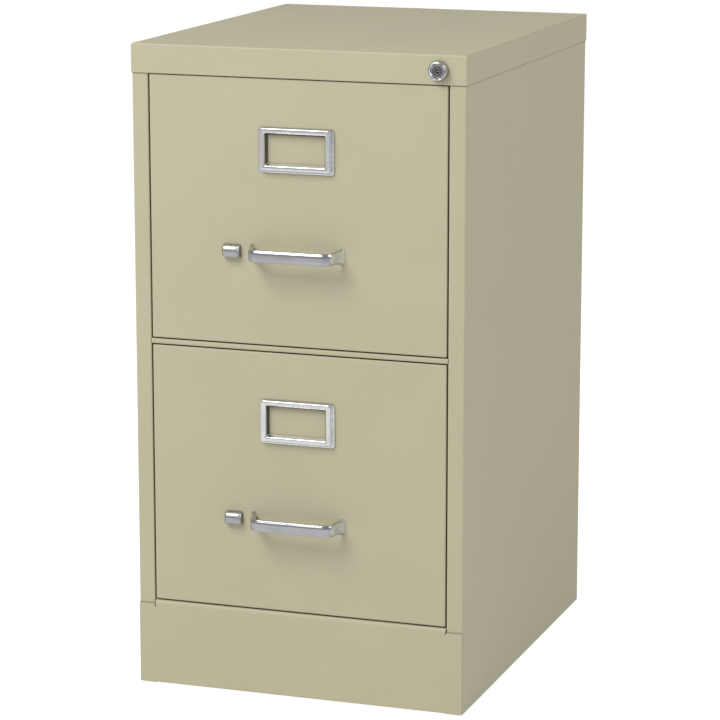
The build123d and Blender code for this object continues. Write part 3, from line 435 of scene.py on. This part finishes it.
def make_label_holder(name):
    """A chrome frame; its moulding sits flush with the top of the flange. Its inner side walls and the
    underside of its top bar are painted shade.
    """
    low, high = SPANS[f"{name}_label_holder"]
    middle = (low + high) / 2
    half_x = (high.x - low.x) / 2
    loops = []
    for inset, height in LABEL_PROFILE:
        flange = min(inset, LABEL_FLANGE)
        top = high.z - (inset - flange + flange * LABEL_TOP_FLANGE / LABEL_FLANGE) * MM
        bottom = low.z + inset * MM
        ring = rounded_rectangle(half_x - inset * MM, (top - bottom) / 2, label_corner(inset) * MM)
        loops.append([(middle.x + x, high.y - height * MM, (top + bottom) / 2 + z) for x, z in ring])
    piece = new_object(f"{name}_label_frame", *skin_loops(loops, closed=True), FRAME_CHROME, 50.0)
    piece.data.materials.append(LABEL_PAINTED_SHADE_STEEL)
    # Painted shade: the inner side walls and the down-facing faces under the top bar take the dark steel.
    wall_x = half_x - LABEL_WALL * MM
    for face in piece.data.polygons:
        centre = face.center
        side_wall = abs(centre.x - middle.x) < wall_x and abs(face.normal.x) > SIDE_FACING
        below_top_bar = middle.z < centre.z < high.z - LABEL_SHADOW_EDGE * MM
        if side_wall or below_top_bar and face.normal.z < DOWN_FACING:
            face.material_index = 1
    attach(piece, f"{name}_drawer")
    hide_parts(f"{name}_label_holder")


# ---------------------------------------------------------------- thumb latch buttons


BUTTON_CROWN = 1.0 * MM
BUTTON_CROWN_STEPS = 10
# The top and bottom edges' slope, as (how far behind the shoulder, how far in from the edge).
BUTTON_SLOPE = ((2.6 * MM, 0.0), (1.9 * MM, 0.3 * MM), (0.4 * MM, 1.9 * MM))
BUTTON_FACE_INSET = 2.6 * MM
BUTTON_PROUD = 0.4 * MM
# The end bevels, as (how far along from the end, how much lower than the face), in millimetres.
BUTTON_ENDS = ((0.0, 3.2), (0.0, 2.5), (0.25, 2.15), (2.15, 0.25), (2.5, 0.0))
BUTTON_END_TAPER = 0.12
STEM_INSET = 2.5 * MM
STEM_HALF_L = 4.0 * MM
STEM_HALF_H = 3.0 * MM
STEM_CORNER_R = 0.6 * MM
STEM_OVERLAP = 0.5 * MM


def button_section(half_z, shoulder):
    """Outline of the button across its length, as (outward, z)."""
    slope = [(shoulder - drop, half_z - inset) for drop, inset in BUTTON_SLOPE]
    top = [(BUTTON_PROUD, half_z)] + slope
    crowned = []
    for i in range(BUTTON_CROWN_STEPS + 1):
        t = 1 - 2 * i / BUTTON_CROWN_STEPS
        crowned.append((shoulder + BUTTON_CROWN * (1 - t * t), t * (half_z - BUTTON_FACE_INSET)))
    return top + crowned + [(out, -z) for out, z in top[::-1]]


def make_button(name):
    """A crowned sliding button with bevelled edges and a stem through the drawer front."""
    low, high = SPANS[f"{name}_thumb_button"]
    face_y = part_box(f"{name}_front_skin")[0].y
    middle_z = (low.z + high.z) / 2
    half_z = (high.z - low.z) / 2
    reach = face_y - low.y
    stations = [(low.x + along * MM, inset * MM) for along, inset in BUTTON_ENDS]
    stations += [(high.x - along * MM, inset * MM) for along, inset in BUTTON_ENDS[::-1]]
    rings = []
    for x, inset in stations:
        section = button_section(half_z - inset * BUTTON_END_TAPER, reach - BUTTON_CROWN - inset)
        rings.append([(x, face_y - out, middle_z + z) for out, z in section])
    piece = new_object(f"{name}_latch_button", *skin_loops(rings), BUTTON_CHROME, 30.0)
    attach(piece, f"{name}_latch")
    stem = rounded_rectangle(STEM_HALF_L, STEM_HALF_H, STEM_CORNER_R, steps=3)
    stem_x = low.x + STEM_INSET + STEM_HALF_L
    stem_ends = (face_y - STEM_OVERLAP, high.y)
    rings = [[(stem_x + x, y, middle_z + z) for x, z in stem] for y in stem_ends]
    post = new_object(f"{name}_latch_stem", *skin_loops(rings), ZINC, 30.0)
    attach(post, f"{name}_latch")
    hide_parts(f"{name}_thumb_button")


# ---------------------------------------------------------------- latch springs


WIRE_R = 0.45 * MM
SPRING_TURNS = 8
STEPS_PER_TURN = 24
WIRE_STEPS = 12


def make_latch_spring(name):
    """A coil spring of round wire, wound along X across the latch spring's span."""
    low, high = SPANS[f"{name}_latch_spring"]
    middle = (low + high) / 2
    radius = (high.z - low.z) / 2 - WIRE_R
    length = high.x - low.x - 2 * WIRE_R
    count = SPRING_TURNS * STEPS_PER_TURN
    loops = []
    for i in range(count + 1):
        a = 2 * pi * i / STEPS_PER_TURN
        outward = Vector((0.0, cos(a), sin(a)))
        centre = Vector((low.x + WIRE_R + length * i / count, middle.y, middle.z)) + radius * outward
        climb = length / (2 * pi * SPRING_TURNS)
        along = Vector((climb, -radius * sin(a), radius * cos(a))).normalized()
        across = along.cross(outward)
        ring = [2 * pi * k / WIRE_STEPS for k in range(WIRE_STEPS)]
        loops.append([centre + WIRE_R * (cos(b) * outward + sin(b) * across) for b in ring])
    piece = new_object(f"{name}_latch_coil", *skin_loops(loops), POLISHED, 50.0)
    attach(piece, f"{name}_drawer")
    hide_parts(f"{name}_latch_spring")
    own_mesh(piece)


for drawer in DRAWERS:
    make_handle(drawer)
    make_label_holder(drawer)
    make_button(drawer)
    make_latch_spring(drawer)

# ---------------------------------------------------------------- lock


def six_sided(radius, angle):
    """Distance from the middle to the side of a hexagon of that corner radius, at an angle."""
    turned = (angle + pi / 6) % (pi / 3) - pi / 6
    return radius * cos(pi / 6) / cos(turned)


def lathe(centre, profile, steps=96):
    """Loops round a line along Y. profile is (y, radius, share of hexagon) in millimetres."""
    loops = []
    for y, radius, hexness in profile:
        ring = []
        for i in range(steps):
            a = 2 * pi * i / steps
            r = radius + (six_sided(radius, a - pi / 6) - radius) * hexness
            ring.append((centre.x + r * MM * cos(a), centre.y + y * MM, centre.z + r * MM * sin(a)))
        loops.append(ring)
    return loops


# Radii of the lock, in millimetres.
BARREL_R = 8.2
THREAD_R = 8.6
THREAD_PITCH = 1.0
THREAD_START = 4.0
RIM_R = 10.4
FACET_R = 8.85
PLUG_HOLE_R = 8.05
BARREL_BORE_R = 6.1


def make_lock_bezel():
    """The lock's housing: a round rim, six polished facets inside it, and a threaded barrel."""
    low, high = SPANS["lock_housing"]
    skirt_y = SPANS["top_cap"][0].y
    centre = Vector(((low.x + high.x) / 2, skirt_y, (low.z + high.z) / 2))
    rim = (low.y - skirt_y) / MM
    end = (high.y - skirt_y) / MM
    plug_seat = rim + 5.7
    profile = [(0.0, THREAD_R, 0), (0.0, RIM_R, 0), (rim + 2.0, RIM_R, 0)]
    profile += [(rim + 0.9, RIM_R - 0.2, 0), (rim + 0.25, RIM_R - 0.7, 0), (rim, RIM_R - 1.45, 0)]
    profile += [(rim + 0.1, 8.8, 0.3), (rim + 0.25, FACET_R, 1.0), (rim + 0.9, 8.1, 0.9)]
    profile += [(rim + 2.3, PLUG_HOLE_R, 0), (plug_seat, PLUG_HOLE_R, 0), (plug_seat, BARREL_BORE_R, 0)]
    profile += [(end, BARREL_BORE_R, 0), (end, BARREL_R, 0)]
    turn = end - 0.6
    while turn > THREAD_START:
        profile += [(turn, THREAD_R, 0), (turn - THREAD_PITCH / 2, BARREL_R, 0)]
        turn -= THREAD_PITCH
    piece = new_object("lock_bezel", *skin_loops(lathe(centre, profile), closed=True), BEZEL_CHROME, 28.0)
    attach(piece, "case")
    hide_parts("lock_housing")


# Profiles on the plug's face and the wards' places in its keyway, in millimetres.
RING_PROFILE = ((0.1, 7.1, 0), (-0.3, 6.9, 0), (-0.4, 6.5, 0), (-0.3, 6.1, 0), (0.1, 5.9, 0))
WARD_PROFILE = ((1.5, 0.8, 0), (-0.1, 0.8, 0), (-0.35, 0.6, 0), (-0.5, 0.25, 0))
WARDS = {"top": (0.0, 3.4), "side": (0.9, 0.2), "bottom": (0.0, -3.4)}


def make_plug_face():
    """The plug's raised ring and the rounded wards that stand in its keyway."""
    low, high = SPANS["lock_plug"]
    centre = Vector(((low.x + high.x) / 2, low.y, (low.z + high.z) / 2))
    ring = skin_loops(lathe(centre, RING_PROFILE), closed=True)
    pieces = [new_object("plug_ring", *ring, BEZEL_CHROME)]
    for name, (x, z) in WARDS.items():
        ward = skin_loops(lathe(centre + Vector((x, 0.0, z)) * MM, WARD_PROFILE, steps=24))
        pieces.append(new_object(f"plug_ward_{name}", *ward, BEZEL_CHROME))
    for piece in pieces:
        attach(piece, "lock_core")


make_lock_bezel()
make_plug_face()

# ---------------------------------------------------------------- studio


def softbox(name, place, aim, side, power):
    """A square area lamp that faces a point."""
    lamp = bpy.data.lights.new(name, "AREA")
    lamp.shape = "RECTANGLE"
    lamp.size = side
    lamp.size_y = side
    lamp.energy = power
    light = bpy.data.objects.new(name, lamp)
    light.location = place
    light.rotation_euler = (Vector(aim) - Vector(place)).to_track_quat("-Z", "Y").to_euler()
    bpy.context.scene.collection.objects.link(light)


FLOOR_REACH = 30.0
WORLD_GLOW = 0.35


def pale_floor(name, albedo, glow, drop):
    """A very large plain floor that glows evenly. drop is its depth below the cabinet's feet."""
    surface = Shader(name, Roughness=0.9, Specular_IOR_Level=0.1)
    mottle = surface.noise(scale=3.0, detail=2.0)
    pale = scaled(WHITE, albedo)
    surface.colour(surface.ramp(mottle, [(0.3, pale), (0.7, scaled(pale, 1.02))]))
    surface.surface.inputs["Emission Color"].default_value = (*WHITE, 1.0)
    surface.surface.inputs["Emission Strength"].default_value = glow
    surface.bump(surface.noise(scale=200.0), distance=0.05 * MM)
    level = cad_box[0].z - drop
    corners = [(x * FLOOR_REACH, y * FLOOR_REACH, level) for x, y in ((-1, -1), (1, -1), (1, 1), (-1, 1))]
    floor = new_object(name, corners, [(0, 1, 2, 3)], surface.material)
    return floor


def studio_world():
    """An even white surround."""
    world = bpy.data.worlds.new("studio")
    world.use_nodes = True
    background = world.node_tree.nodes["Background"]
    background.inputs["Color"].default_value = (*WHITE, 1.0)
    background.inputs["Strength"].default_value = WORLD_GLOW
    bpy.context.scene.world = world


CAMERA_AZIMUTH = radians(19.23)
CAMERA_ELEVATION = radians(11.98)
CAMERA_DISTANCE = 3.548
CAMERA_LENS = 154.1
SENSOR_WIDTH = 36.0
AIM_OFFSET = Vector((-4.0, -6.0, -20.3)) * MM

middle = (cad_box[0] + cad_box[1]) / 2
# The camera sees only the upper floor. The light that reaches the cabinet comes off the lower one.
seen_floor = pale_floor("floor", albedo=0.6, glow=0.8, drop=0.0)
seen_floor.visible_diffuse = False
seen_floor.visible_glossy = False
seen_floor.visible_shadow = False
lighting_floor = pale_floor("bounce_floor", albedo=0.5, glow=0.37, drop=1.0 * MM)
lighting_floor.visible_camera = False
studio_world()
softbox("key", (-1.15, -2.1, 2.75), middle, side=1.7, power=68.0)
softbox("right_fill", (2.5, -0.4, 2.3), middle, side=1.3, power=20.0)

camera_data = bpy.data.cameras.new("camera")
camera_data.sensor_width = SENSOR_WIDTH
camera_data.lens = CAMERA_LENS
camera = bpy.data.objects.new("camera", camera_data)
aim = middle + AIM_OFFSET
backward = Vector(
    (
        sin(CAMERA_AZIMUTH) * cos(CAMERA_ELEVATION),
        -cos(CAMERA_AZIMUTH) * cos(CAMERA_ELEVATION),
        sin(CAMERA_ELEVATION),
    )
)
camera.location = aim + backward * CAMERA_DISTANCE
camera.rotation_euler = (-backward).to_track_quat("-Z", "Y").to_euler()
bpy.context.scene.collection.objects.link(camera)
bpy.context.scene.camera = camera
bpy.context.scene.view_settings.view_transform = "Standard"
